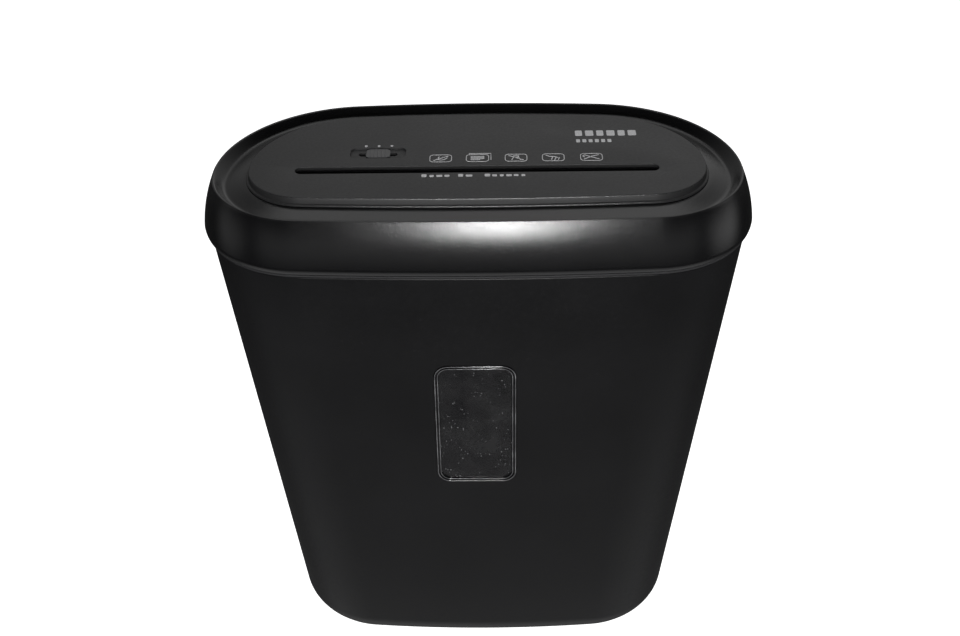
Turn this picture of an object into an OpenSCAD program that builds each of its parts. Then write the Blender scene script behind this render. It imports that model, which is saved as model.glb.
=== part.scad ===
// Desktop waste-bin paper shredder: tapered bin, lift-off cutting head.
// Millimetres, +Z up, front is -Y, origin under the middle of the base.

/* [Main sizes] */
// height of the feed panel's top face
total_h = 352; // [340:1:380]
// half width of the feed panel
panel_a = 138.5; // [130:0.5:145]
// how far the panel's long edge sits in front of the widest line
panel_front = 39.5; // [34:0.5:44]
// how far the panel's long edge sits behind the widest line
panel_back = 68.5; // [60:0.5:74]
// position of the widest line, front to back
wide_y = -14.5; // [-18:0.5:-10]
// height of the bin's rim
bin_h = 313.5; // [305:0.5:320]
// bin wall thickness
bin_t = 2.4; // [1.8:0.1:3.2]
// half width of the bin at the floor
bin_a0 = 129.2; // [120:0.5:138]
// rounding between the bin's wall and its base
base_r = 17.5; // [12:0.5:18]

/* [Feed slot] */
// throat width, sized for A4
throat = 220; // [216:1:230]
// slot opening, front to back
slot_w = 8.4; // [6:0.1:10]
// slot centre line, front to back
slot_y = -18.5; // [-22:0.5:-16]

/* [Bin window] */
// window width
win_w = 51.4; // [40:0.2:60]
// window height
win_h = 95.4; // [80:0.2:110]
// window centre, left to right
win_x = -2.2; // [-6:0.2:6]
// window centre height
win_z = 201.6; // [180:0.2:220]

/* [Cutting mechanism] */
// height of both cutter shafts
cut_z = 300; // [296:0.5:304]
// distance between the cutter shafts
cut_c = 27; // [27:1:27]
// cutter disc radius
disc_r = 17; // [16:0.1:17.5]
// disc pitch along the shaft
pitch = 8; // [8:1:8]
// journal radius of the shafts
jr = 5; // [4:0.5:6]

/* [Controls] */
// centre of the slide switch, left to right
sw_x = -61; // [-70:1:-50]
// centre of the slide switch, front to back
sw_y = 3; // [0:1:8]

/* [Which part] */
// one node, or the whole shredder

/* [Hidden] */
$fn = 32;
eps = 0.01;
fy = slot_y - cut_c/2;        // front shaft
ry = slot_y + cut_c/2;        // rear shaft
qn1 = 12; qn2 = 8; qn = qn1 + qn2;
rim_e = 22.5;
// gear train: [y, z, teeth, module]
c2 = [ry + 33*cos(-48), cut_z + 33*sin(-48)];
d2a = 27.5;
c1 = [24, c2[1] + sqrt(d2a*d2a - pow(24 - c2[0], 2))];
mt = [34, c1[1] - sqrt(27*27 - pow(34 - c1[0], 2))];

// ---------- plan outlines ----------
// quarter of a four-centre oval, from the side point to the front or back point
function bigr(a, b, r) = (pow(a - r, 2) + b*b - r*r)/(2*(b - r));
function qpt(a, b, r, i) =
  let (R = bigr(a, b, r), phi = atan2(R - b, a - r))
  i < qn1 ? [a - r + r*cos(phi*i/qn1), r*sin(phi*i/qn1)]
          : let (t = phi + (90 - phi)*(i - qn1)/qn2) [R*cos(t), b - R + R*sin(t)];
// d = [half width, front depth, front radius, back depth, back radius]
function ring(d, z) = concat(
  [for (i = [0:qn - 1]) let (p = qpt(d[0], d[3], d[4], i)) [p[0], p[1] + wide_y, z]],
  [for (i = [0:qn - 1]) let (p = qpt(d[0], d[3], d[4], qn - i)) [-p[0], p[1] + wide_y, z]],
  [for (i = [0:qn - 1]) let (p = qpt(d[0], d[1], d[2], i)) [-p[0], wide_y - p[1], z]],
  [for (i = [0:qn - 1]) let (p = qpt(d[0], d[1], d[2], qn - i)) [p[0], wide_y - p[1], z]]);
pan = [panel_a, panel_front, panel_front - 3, panel_back, panel_back - 2.5];
function off(d, e) = [for (v = d) v + e];
function mix(p, q, t) = [for (i = [0:4]) p[i] + (q[i] - p[i])*t];
bin0 = [bin_a0, 61, 58, 79, 64];
bin1 = off(pan, 26.7);
function bind(z) = mix(bin0, bin1, z/bin_h);
tub = [153, 57.5, 54.5, 86.5, 84];
// y of an outline at a given x
function arcy(a, b, r, x) = let (R = bigr(a, b, r), phi = atan2(R - b, a - r), xj = a - r + r*cos(phi))
  abs(x) > xj ? sqrt(max(0, r*r - pow(abs(x) - (a - r), 2))) : b - R + sqrt(R*R - x*x);
function backy(d, x) = wide_y + arcy(d[0], d[3], d[4], x);
function fronty(d, x) = wide_y - arcy(d[0], d[1], d[2], x);

module loft(rings, loop = false) {
  n = len(rings[0]); m = len(rings);
  side = [for (i = [0:(loop ? m - 1 : m - 2)], j = [0:n - 1], k = [0:1])
    let (a = i*n + j, b = i*n + (j + 1)%n, i2 = (i + 1)%m, c = i2*n + (j + 1)%n, d = i2*n + j)
    k == 0 ? [a, d, c] : [a, c, b]];
  caps = loop ? [] : [[for (j = [0:n - 1]) j], [for (j = [n - 1:-1:0]) (m - 1)*n + j]];
  polyhedron(points = [for (r = rings, p = r) p], faces = concat(side, caps), convexity = 8);
}
module rrect(w, h, r) {
  square([w - 2*r, h], center = true);
  square([w, h - 2*r], center = true);
  for (x = [-1, 1], y = [-1, 1]) translate([x*(w/2 - r), y*(h/2 - r)]) circle(r = r);
}
// a slab seen from the front, in x and z, running along y
module frontal(y0, y1, x, z) translate([x, y1, z]) rotate([90, 0, 0]) linear_extrude(y1 - y0) children();
// round bar along x
module xcyl(x0, x1, y, z, r, fn = 32) translate([x0, y, z]) rotate([90, 0, 90]) cylinder(r = r, h = x1 - x0, $fn = fn);
module ycyl(y0, y1, x, z, r) translate([x, y0, z]) rotate([-90, 0, 0]) cylinder(r = r, h = y1 - y0);
// a profile in y and z, running along x
module side(x0, x1) translate([x0, 0, 0]) rotate([90, 0, 90]) linear_extrude(x1 - x0) children();
module box(x0, x1, y0, y1, z0, z1) translate([x0, y0, z0]) cube([x1 - x0, y1 - y0, z1 - z0]);

// ---------- bin ----------
post_x = -157.6;
module bin() color([0.04, 0.04, 0.045]) difference() {
  union() {
    difference() {
      loft(concat(
        [for (k = [0:6]) let (t = k*15) ring(off(bind(1.5 + base_r*(1 - cos(t))), -base_r*(1 - sin(t))), 1.5 + base_r*(1 - cos(t)))],
        [ring(bind(160), 160), ring(off(bind(bin_h - 1), 0), bin_h - 1), ring(off(bind(bin_h), -0.7), bin_h)],
        [ring(off(bind(bin_h), -bin_t), bin_h), ring(off(bind(160), -bin_t), 160), ring(off(bind(20), -bin_t), 20),
         ring(off(bind(12), -3.8), 12), ring(off(bind(7), -7.2), 7), ring(off(bind(4.5), -12), 4.5)]));
      frontal(-100, -60, win_x, win_z) rrect(win_w, win_h, 9);
      for (s = [-1, 1], p = [[78, -43], [80, 20]]) translate([s*p[0], p[1], 1]) cylinder(r = 9, h = 1.7);
    }
    // post that presses the head's interlock plunger
    intersection() {
      box(-172, -153.6, wide_y - 5, wide_y + 5, 270, 299.6);
      loft([ring(off(bind(269), -1), 269), ring(off(bind(301), -1), 301)]);
    }
  }
}
module wshell(o, i) difference() {
  loft([ring(off(bind(120), o), 120), ring(off(bind(290), o), 290)]);
  loft([ring(off(bind(119), i), 119), ring(off(bind(291), i), 291)]);
}
module bin_window() color([0.35, 0.37, 0.38, 0.5]) union() {
  intersection() { wshell(-0.3, -2.3); frontal(-100, -60, win_x, win_z) rrect(win_w - 0.5, win_h - 0.5, 8.75); }
  intersection() {
    wshell(0.7, -2.8);
    frontal(-100, -60, win_x, win_z) difference() { rrect(win_w - 0.5, win_h - 0.5, 8.75); rrect(win_w - 6.5, win_h - 6.5, 6.2); }
  }
}
module bin_feet() color([0.05, 0.05, 0.05])
  for (s = [-1, 1], p = [[78, -43], [80, 20]]) translate([s*p[0], p[1], 0]) cylinder(r = 8.7, h = 2.6);

// ---------- head shells ----------
// outside of the head, from its bottom edge up over the ridge and down into the gutter
fas_r = 94.7;
cover_prof = concat(
  [[28.5, total_h - 35.7], [29.3, total_h - 34.9], [29.9, total_h - 33.6]],
  [for (k = [0:5]) let (t = 6 + k*3.64) [30.2 + fas_r*(cos(t) - cos(6)), total_h - 31.7 + fas_r*(sin(t) - sin(6))]],
  [[22.1, total_h - 2.5], [21.6, total_h - 2.4], [21, total_h - 2.65], [20.3, total_h - 3.3], [17.4, total_h - 6.6],
   [16.2, total_h - 7.7], [14.8, total_h - 8.2], [13, total_h - 8.1], [8, total_h - 6.9], [2.6, total_h - 5.6], [1.3, total_h - 5.7],
   [1.3, total_h - 7.9], [9, total_h - 9.4], [14.8, total_h - 10.8], [18.6, total_h - 11], [23, total_h - 12.6],
   [25.4, total_h - 20], [26.8, total_h - 28], [26.4, total_h - 35.7]]);
// half spacing of the cover screws, front pair and back pair
cover_screw_x = [62, 96];
module at_cover_screws() for (s = [-1, 1]) {
  translate([s*cover_screw_x[0], fronty(off(pan, 21.1), cover_screw_x[0]), 0]) children();
  translate([s*cover_screw_x[1], backy(off(pan, 20.9), cover_screw_x[1]), 0]) children();
}
gland = [60, 330];
module top_cover() color([0.07, 0.07, 0.075]) difference() {
  union() {
    loft([for (p = cover_prof) ring(off(pan, p[0]), p[1])], true);
    at_cover_screws() translate([0, 0, total_h - 35.2]) cylinder(r = 3.6, h = 26);
  }
  at_cover_screws() translate([0, 0, total_h - 36]) cylinder(r = 1.5, h = 16);
  ycyl(60, 90, gland[0], gland[1], 5.6);
  ycyl(80.3, 90, gland[0], gland[1], 8.3);
}
module stadium(len, w) { square([len - w, w], center = true); for (s = [-1, 1]) translate([s*(len - w)/2, 0]) circle(r = w/2); }
module feed_panel() color([0.1, 0.1, 0.105]) difference() {
  loft([ring(off(pan, -1.5), total_h - 2.4), ring(off(pan, -1.5), total_h - 8), ring(off(pan, 0.7), total_h - 8),
    ring(off(pan, 0.7), total_h - 5.4), ring(off(pan, 1.9), total_h - 5.4), ring(off(pan, 1.9), total_h - 4.4),
    ring(off(pan, 1.7), total_h - 4.15), ring(off(pan, 0.45), total_h - 3.9), ring(off(pan, 0.05), total_h - 0.8),
    ring(off(pan, -0.2), total_h - 0.3), ring(off(pan, -0.8), total_h)]);
  translate([0, slot_y, total_h - 4]) linear_extrude(5) stadium(throat, slot_w);
  translate([0, slot_y, 0]) hull() {
    translate([0, 0, total_h - 1.3]) linear_extrude(0.02) stadium(throat - 0.6, slot_w - 0.6);
    translate([0, 0, total_h + 0.02]) linear_extrude(0.02) stadium(throat + 1.8, slot_w + 1.8);
  }
  translate([sw_x, sw_y, total_h - 1.2]) linear_extrude(2) rrect(34, 13, 4);
  translate([sw_x, sw_y, total_h - 4]) linear_extrude(5) stadium(24, 4.6);
}
module glyph_frame(x, w) translate([x, -5, total_h]) linear_extrude(0.15)
  difference() { rrect(w, 9.4, 2.4); rrect(w - 1.2, 8.2, 1.8); }
module panel_marks() color([0.75, 0.75, 0.75]) {
  for (p = [[-22.1, 14.6], [1, 16], [24, 14.2], [46.7, 13.8], [70, 14.4]]) glyph_frame(p[0], p[1]);
  translate([-24, -3.4, total_h]) linear_extrude(0.15) square([3.4, 3], center = true);
  for (i = [0:2]) translate([1, -7 + i*2, total_h]) linear_extrude(0.15) square([8 - i, 1], center = true);
  translate([24, -5, total_h]) linear_extrude(0.15) difference() { circle(r = 3); circle(r = 2.2); }
  for (i = [0:2]) translate([43.4 + i*3.3, -5, total_h]) linear_extrude(0.15) square([1.2, 5], center = true);
  translate([70, -5, total_h]) linear_extrude(0.15) difference() { rrect(8.6, 4.6, 1); rrect(7, 3, 0.6); }
  for (i = [0:2]) translate([sw_x - 8 + i*8, sw_y + 9, total_h]) linear_extrude(0.15) circle(r = 0.9);
}
fl_z = total_h - 36.1;
module lower_housing() color([0.05, 0.05, 0.055]) difference() {
  union() {
    loft([ring(off(tub, -8), 249.5), ring(off(tub, -3), 251), ring(off(tub, -0.8), 256), ring(tub, 270), ring(tub, bin_h + 0.1),
      ring(off(pan, 24.5), bin_h + 0.1), ring(off(pan, 24.5), bin_h + 1), ring(off(pan, 27.9), bin_h + 1), ring(off(pan, 28.2), bin_h + 1.3),
      ring(off(pan, 28.2), fl_z), ring(off(tub, 1.5), fl_z), ring(off(tub, -2.5), fl_z), ring(off(tub, -2.5), 270),
      ring(off(tub, -4), 256), ring(off(tub, -9), 252)]);
    // wall behind the cutters
    box(-111, 111, 11.2, 13.2, 251.5, 262);
    // board posts
    for (x = [-92, -38], y = [22, 44]) translate([x, y, 251]) cylinder(r = 3, h = 31);
    // frame bosses
    for (s = [-1, 1], y = [-40, 4]) translate([s*115, y, 251]) cylinder(r = 5.5, h = 4);
  }
  box(-107, 107, -50, 8, 245, 254);
  at_cover_screws() translate([0, 0, 300]) cylinder(r = 1.9, h = 30);
  translate([post_x, wide_y, 300]) cylinder(r = 3.1, h = 30);
  for (x = [-92, -38], y = [22, 44]) translate([x, y, 275]) cylinder(r = 1.2, h = 10);
}
module cover_screws() color([0.55, 0.55, 0.57]) at_cover_screws() {
  translate([0, 0, bin_h - 1.9]) difference() { cylinder(r = 2.4, h = 1.95); translate([-1.7, -0.4, -1]) cube([3.4, 0.8, 1.9]); translate([-0.4, -1.7, -1]) cube([0.8, 3.4, 1.9]); }
  translate([0, 0, bin_h]) cylinder(r = 1.45, h = 15);
}
module cord_gland() color([0.04, 0.04, 0.04]) difference() {
  union() {
    ycyl(80.4, 84.1, gland[0], gland[1], 8);
    ycyl(70, 80.6, gland[0], gland[1], 5.45);
    ycyl(70, 73, gland[0], gland[1], 7);
  }
  ycyl(60, 90, gland[0], gland[1], 3.6);
}

// ---------- paper path ----------
module paper_chute() color([0.09, 0.09, 0.09]) difference() {
  union() {
    side(-111.4, 111.4) polygon([[slot_y + 4.4, total_h - 3.2], [slot_y + 6, total_h - 3.2], [slot_y + 5.6, 330], [slot_y + 4, 314.6], [slot_y + 2.6, 314.6], [slot_y + 4, 330]]);
    side(-111.4, 111.4) polygon([[slot_y - 4.4, total_h - 3.2], [slot_y - 4, 330], [slot_y - 2.6, 314.6], [slot_y - 4, 314.6], [slot_y - 5.6, 330], [slot_y - 6, total_h - 3.2]]);
    for (s = [-1, 1]) box(s > 0 ? 110.2 : -111.4, s > 0 ? 111.4 : -110.2, slot_y - 4.9, slot_y + 4.9, 331, total_h - 3.2);
  }
  box(-4, 4, slot_y - 7, slot_y + 7, 313, 338);
}
// ---------- frame ----------
rods = [[-50, 324], [-50, 281], [9, 324]];
module plate_profile(y0, y1) translate([(y0 + y1)/2, 300]) rrect(y1 - y0, 76, 5);
module side_plate_left() color([0.62, 0.63, 0.65]) side(-114, -112) difference() {
  plate_profile(-54, 22);
  for (y = [fy, ry]) translate([y, cut_z]) circle(r = 7);
  for (p = rods) translate(p) circle(r = 2.1);
}
msc = [[47, 284], [44, 264.5], [22, 263]];
module side_plate_right() color([0.62, 0.63, 0.65]) side(112, 114) difference() {
  plate_profile(-54, 50);
  for (y = [fy, ry]) translate([y, cut_z]) circle(r = 7);
  for (p = rods) translate(p) circle(r = 2.1);
  for (p = msc) translate(p) circle(r = 1.7);
  translate(mt) circle(r = 7);
  for (p = [c1, c2]) translate(p) circle(r = 3);
}
module tie_rods() color([0.6, 0.6, 0.62]) for (p = rods) difference() {
  xcyl(-111.9, 111.9, p[0], p[1], 4);
  for (s = [-1, 1]) xcyl(s*105.9 - 6, s*105.9 + 6.1, p[0], p[1], 1.9);
}
module frame_screws() color([0.5, 0.5, 0.5]) for (p = rods, s = [-1, 1]) {
  xcyl(s > 0 ? 101 : -114.1, s > 0 ? 114.1 : -101, p[0], p[1], 1.8);
  difference() {
    xcyl(s > 0 ? 114.05 : -116.8, s > 0 ? 116.8 : -114.05, p[0], p[1], 3.6);
    box(s > 0 ? 116 : -118, s > 0 ? 118 : -116, p[0] - 0.4, p[0] + 0.4, p[1] - 2.4, p[1] + 2.4);
    box(s > 0 ? 116 : -118, s > 0 ? 118 : -116, p[0] - 2.4, p[0] + 2.4, p[1] - 0.4, p[1] + 0.4);
  }
}
module frame_pads() color([0.06, 0.06, 0.06]) for (s = [-1, 1], y = [-40, 4]) difference() {
  translate([s*115, y, 255.1]) cylinder(r = 5, h = 8);
  box(s > 0 ? 111.8 : -114.2, s > 0 ? 114.2 : -111.8, y - 6, y + 6, 261.9, 264);
}
module bush(x0, y) difference() {
  union() {
    xcyl(x0 > 0 ? 110.4 : -114.2, x0 > 0 ? 114.2 : -110.4, y, cut_z, 6.97);
    xcyl(x0 > 0 ? 110.4 : -111.9, x0 > 0 ? 111.9 : -110.4, y, cut_z, 8.6);
  }
  xcyl(x0 > 0 ? 109 : -116, x0 > 0 ? 116 : -109, y, cut_z, jr + 0.05);
}
module bushes_left() color([0.65, 0.45, 0.2]) for (y = [fy, ry]) bush(-1, y);
module bushes_right() color([0.65, 0.45, 0.2]) for (y = [fy, ry]) bush(1, y);

// ---------- cutters ----------
module hexbar(x0, x1, y, af) xcyl(x0, x1, y, cut_z, af/2/cos(30), 6);
module cutter_shaft_front() color([0.55, 0.56, 0.58]) {
  hexbar(-110, 110, fy, 12);
  difference() { xcyl(-124, -109.9, fy, cut_z, jr); box(-125, -114.6, fy - 6, fy + 6, cut_z + 4.2, cut_z + 6); }
  xcyl(109.9, 116, fy, cut_z, jr);
}
module cutter_shaft_rear() color([0.55, 0.56, 0.58]) {
  hexbar(-110, 110, ry, 12);
  difference() { xcyl(-124, -109.9, ry, cut_z, jr); box(-125, -114.6, ry - 6, ry + 6, cut_z + 4.2, cut_z + 6); }
  difference() { xcyl(109.9, 137.4, ry, cut_z, jr); box(130, 139, ry - 6, ry + 6, cut_z + 4.2, cut_z + 6); }
}
module disc(x, y, a) translate([x - 1.9, y, cut_z]) rotate([90, 0, 90]) linear_extrude(3.8) difference() {
  circle(r = disc_r, $fn = 64);
  circle(r = 6.05/cos(30), $fn = 6);
  for (k = [0:2]) rotate(a + k*120) translate([disc_r - 1.2, 0]) square([3, 2.6]);
}
module spacer(x, y) difference() {
  xcyl(x - 2.05, x + 2.05, y, cut_z, 9.2);
  xcyl(x - 3, x + 3, y, cut_z, 6.05/cos(30), 6);
}
module cutter_discs_front() color([0.42, 0.42, 0.44]) for (i = [0:26]) disc(-104 + pitch*i, fy, i*15);
module cutter_discs_rear() color([0.42, 0.42, 0.44]) for (i = [0:25]) disc(-100 + pitch*i, ry, -i*15);
module spacers_front() color([0.3, 0.3, 0.3]) for (i = [0:25]) spacer(-100 + pitch*i, fy);
module spacers_rear() color([0.3, 0.3, 0.3]) for (i = [0:24]) spacer(-96 + pitch*i, ry);
module stripper_front() color([0.12, 0.12, 0.12]) union() {
  box(-111, 111, -53.6, -50, 288, 312);
  for (i = [0:25]) side(-100 + pitch*i - 1.7, -100 + pitch*i + 1.7) difference() {
    translate([-50.2, 288]) square([50.2 + fy, 24]);
    translate([fy, cut_z]) circle(r = 9.9);
  }
}
module stripper_rear() color([0.12, 0.12, 0.12]) union() {
  box(-111, 22, 12.4, 15.6, 294, 314);
  box(21, 111, 12.4, 15.6, 297.5, 314);
  for (i = [0:24]) side(-96 + pitch*i - 1.7, -96 + pitch*i + 1.7) difference() {
    translate([ry, 290]) square([12.5 - ry, 22]);
    translate([ry, cut_z]) circle(r = 9.9);
  }
}

// ---------- gears ----------
// n teeth of module m; ph turns a tooth's middle to that angle
module gear2d(n, m, ph) {
  r = n*m/2; ro = r + 0.95*m; ri = r - 1.2*m; p = 360/n;
  rotate(ph) polygon([for (k = [0:n - 1], q = [[ri, -0.33], [r, -0.235], [ro, -0.1], [ro, 0.1], [r, 0.235], [ri, 0.33]])
    [q[0]*cos((k + q[1])*p), q[0]*sin((k + q[1])*p)]]);
}
// phase of a gear that meshes with one at p1
function mesh(p1, n1, ph1, p2, n2) = let (al = atan2(p2[1] - p1[1], p2[0] - p1[0])) al + 180 - 180/n2 - (al - ph1)*n1/n2*-1;
module xgear(x0, x1, p, n, m, ph) translate([x0, p[0], p[1]]) rotate([90, 0, 90]) linear_extrude(x1 - x0) difference() { gear2d(n, m, ph); children(); }
pr = [ry, cut_z]; pf = [fy, cut_z];
ph_rs = 0; ph_fs = mesh(pr, 18, ph_rs, pf, 18);
ph_dr = 0; ph_2s = mesh(pr, 32, ph_dr, c2, 12);
ph_2b = 4; ph_1s = mesh(c2, 32, ph_2b, c1, 12);
ph_1b = 3; ph_mp = mesh(c1, 44, ph_1b, mt, 10);
module dbore() difference() { circle(r = jr + 0.04); translate([-6, 4.24]) square([12, 3]); }
module sync_gear_front() color([0.7, 0.68, 0.6]) xgear(-122.5, -115.5, pf, 18, 1.5, ph_fs) dbore();
module sync_gear_rear() color([0.7, 0.68, 0.6]) xgear(-122.5, -115.5, pr, 18, 1.5, ph_rs) dbore();
module drive_gear() color([0.7, 0.68, 0.6]) xgear(131, 137, pr, 32, 1.5, ph_dr) dbore();
module compound_gear_1() color([0.85, 0.84, 0.8]) difference() {
  union() {
    xgear(115.5, 121.5, c1, 44, 1, ph_1b) circle(r = 2);
    xgear(121.5, 129, c1, 12, 1.25, ph_1s) circle(r = 2);
  }
  xcyl(110, 140, c1[0], c1[1], 3.05);
}
module compound_gear_2() color([0.85, 0.84, 0.8]) difference() {
  union() {
    xgear(123, 129.2, c2, 32, 1.25, ph_2b) circle(r = 2);
    xgear(129.2, 137, c2, 12, 1.5, ph_2s) circle(r = 2);
  }
  xcyl(110, 140, c2[0], c2[1], 3.05);
}
module axle_pins() color([0.6, 0.6, 0.62]) for (p = [c1, c2]) {
  difference() {
    union() { xcyl(111.95, 138.6, p[0], p[1], 2.98); xcyl(109.6, 111.95, p[0], p[1], 4.2); }
    xcyl(109, 110.2, p[0], p[1], 1.5);
  }
}
module gear_guard() color([0.1, 0.1, 0.1]) difference() {
  union() {
    side(138, 139.8) translate([-7, 299]) rrect(62, 72, 6);
    for (p = [[-33, 324], [-33, 268], [-3, 331]]) xcyl(114.1, 138.5, p[0], p[1], 3.2);
  }
  for (p = [c1, c2]) xcyl(130, 145, p[0], p[1], 3.06);
  xcyl(137.5, 141, ry, cut_z, 6);
}

// ---------- motor ----------
module motor_can() color([0.5, 0.51, 0.53]) difference() {
  union() { xcyl(36, 108, mt[0], mt[1], 19.5, 48); xcyl(107.9, 113.4, mt[0], mt[1], 6.7); }
  xcyl(35, 105.5, mt[0], mt[1], 18, 48);
  xcyl(104, 115, mt[0], mt[1], 2.56);
  for (p = msc) xcyl(103, 109, p[0], p[1], 1.5);
}
module motor_endcap() color([0.13, 0.13, 0.13]) difference() {
  union() { xcyl(30, 35.9, mt[0], mt[1], 19.4, 48); xcyl(35.8, 41, mt[0], mt[1], 17.8, 48); }
  xcyl(34, 42, mt[0], mt[1], 15);
  xcyl(28, 36, mt[0], mt[1], 2.56);
}
module motor_rotor() color([0.5, 0.4, 0.32]) {
  xcyl(18, 122.4, mt[0], mt[1], 2.5);
  difference() { xcyl(52, 96, mt[0], mt[1], 15, 48); for (k = [0:4]) translate([50, mt[0], mt[1]]) rotate([k*72, 0, 0]) translate([0, -1, 12]) cube([50, 2, 5]); }
  xcyl(43, 50, mt[0], mt[1], 6.5);
}
module motor_pinion() color([0.75, 0.6, 0.3]) xgear(115.5, 121.5, mt, 10, 1, ph_mp) circle(r = 2.52);
module cooling_fan() color([0.15, 0.15, 0.15]) difference() {
  union() {
    xcyl(20, 28, mt[0], mt[1], 5);
    xcyl(26, 27.2, mt[0], mt[1], 16.5);
    for (k = [0:7]) translate([20, mt[0], mt[1]]) rotate([k*45, 0, 0]) translate([0, -0.6, 4]) cube([6.5, 1.2, 12]);
  }
  xcyl(19, 29, mt[0], mt[1], 2.52);
}
module motor_standoffs() color([0.6, 0.6, 0.62]) for (p = msc) difference() {
  xcyl(108.05, 111.95, p[0], p[1], 2.9);
  xcyl(107, 113, p[0], p[1], 1.6);
}
module motor_screws() color([0.5, 0.5, 0.5]) for (p = msc) {
  xcyl(105.8, 114.1, p[0], p[1], 1.45);
  difference() { xcyl(114.05, 115.4, p[0], p[1], 2.8); box(114.9, 116, p[0] - 0.4, p[0] + 0.4, p[1] - 2, p[1] + 2); }
}

// ---------- electrics ----------
module control_board() color([0.05, 0.28, 0.12]) difference() {
  box(-98, -32, 17, 49, 282.1, 283.7);
  for (x = [-92, -38], y = [22, 44]) translate([x, y, 280]) cylinder(r = 1.6, h = 5);
}
module board_relay() color([0.1, 0.2, 0.45]) { box(-86, -67, 26, 41, 283.75, 299); box(-62, -56, 30, 34, 283.75, 290); }
module board_capacitors() color([0.75, 0.6, 0.1]) { translate([-54, 40, 283.75]) cylinder(r = 4.5, h = 13); translate([-44, 34, 283.75]) cylinder(r = 3.2, h = 9); box(-56, -44, 22, 27, 283.75, 293); }
module board_connectors() color([0.85, 0.85, 0.82]) { box(-97, -90, 28, 40, 283.75, 292); box(-86, -70, 18, 23, 283.75, 291); }
module switch_body() color([0.08, 0.08, 0.08]) difference() {
  box(sw_x - 17, sw_x + 17, sw_y - 6, sw_y + 6, total_h - 16, total_h - 2.5);
  box(sw_x - 12, sw_x + 12, sw_y - 2.4, sw_y + 2.4, total_h - 9, total_h - 2);
}
module switch_knob() color([0.5, 0.5, 0.52]) difference() {
  union() {
    translate([sw_x, sw_y, total_h - 1.1]) linear_extrude(1.1) rrect(15, 11, 3);
    box(sw_x - 4.3, sw_x + 4.3, sw_y - 2.1, sw_y + 2.1, total_h - 8, total_h - 1);
  }
  for (i = [-2:2]) box(sw_x + i*2 - 0.35, sw_x + i*2 + 0.35, sw_y - 4, sw_y + 4, total_h - 0.4, total_h + 1);
}
lv = [-5.5, 335];
module sensor_lever() color([0.7, 0.7, 0.68]) difference() {
  union() {
    xcyl(-3, 3, lv[0], lv[1], 3);
    side(-1.5, 1.5) polygon([[lv[0] - 1, lv[1] - 2.6], [slot_y + 0.5, 325], [slot_y - 2.2, 323], [slot_y - 2.6, 325], [slot_y + 0.2, 328.4], [lv[0] - 1, lv[1] + 1.6]]);
    side(-1.5, 1.5) polygon([[lv[0] + 1, lv[1] - 1.4], [lv[0] + 9, lv[1] + 1.2], [lv[0] + 9, lv[1] + 3], [lv[0] + 1, lv[1] + 2]]);
  }
  xcyl(-5, 5, lv[0], lv[1], 1.25);
}
module sensor_bracket() color([0.62, 0.63, 0.65]) union() {
  xcyl(-6.5, 6.5, lv[0], lv[1], 1.2);
  for (s = [-1, 1]) box(s > 0 ? 5 : -6.5, s > 0 ? 6.5 : -5, slot_y + 6.2, 9, 331, 347.4);
  box(-6.5, 6.5, slot_y + 6.2, 9, 345.8, 347.4);
}
module sensor_switch() color([0.07, 0.07, 0.07]) union() {
  box(-4.9, 4.9, 4.6, 14, 339.2, 345.7);
  box(-1, 1, 4.9, 6, 338.4, 339.4);
}
module interlock_plunger() color([0.75, 0.2, 0.15]) union() {
  translate([post_x, wide_y, 299.8]) cylinder(r = 2.5, h = 24.2);
  translate([post_x, wide_y, 306]) cylinder(r = 2.9, h = 2);
}
module interlock_guide() color([0.12, 0.12, 0.12]) difference() {
  union() { box(post_x - 5, post_x + 5, wide_y - 6, wide_y + 6, fl_z + 0.05, fl_z + 1.6); translate([post_x, wide_y, fl_z + 0.05]) cylinder(r = 4.5, h = 5.5); }
  translate([post_x, wide_y, 300]) cylinder(r = 2.56, h = 40);
}
module interlock_switch() color([0.07, 0.07, 0.07]) union() {
  box(post_x - 3.2, post_x + 3.2, wide_y - 10, wide_y + 10, 328.4, 338);
  box(post_x + 3.1, post_x + 7.5, wide_y - 8, wide_y + 8, 328.4, 337);
  box(post_x + 5.2, post_x + 7.5, wide_y - 8, wide_y + 8, fl_z + 0.1, 329);
}
module thermal_cutout() color([0.8, 0.8, 0.78]) { xcyl(64, 78, 26, 301, 3.2); xcyl(60, 64.1, 26, 301, 0.8, 16); xcyl(77.9, 82, 26, 301, 0.8, 16); }

bin();
bin_window();
bin_feet();
top_cover();
feed_panel();
panel_marks();
lower_housing();
paper_chute();
side_plate_left();
side_plate_right();
tie_rods();
frame_screws();
frame_pads();
bushes_left();
bushes_right();
cutter_shaft_front();
cutter_shaft_rear();
cutter_discs_front();
cutter_discs_rear();
spacers_front();
spacers_rear();
stripper_front();
stripper_rear();
sync_gear_front();
sync_gear_rear();
drive_gear();
compound_gear_1();
compound_gear_2();
axle_pins();
gear_guard();
motor_can();
motor_endcap();
motor_rotor();
motor_pinion();
cooling_fan();
motor_standoffs();
motor_screws();
control_board();
board_relay();
board_capacitors();
board_connectors();
switch_knob();
switch_body();
sensor_lever();
sensor_bracket();
sensor_switch();
interlock_plunger();
interlock_guide();
interlock_switch();
cord_gland();
cover_screws();
thermal_cutout();
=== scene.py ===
import bpy, bmesh, math
import numpy as np
from mathutils import Vector, Matrix


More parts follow.
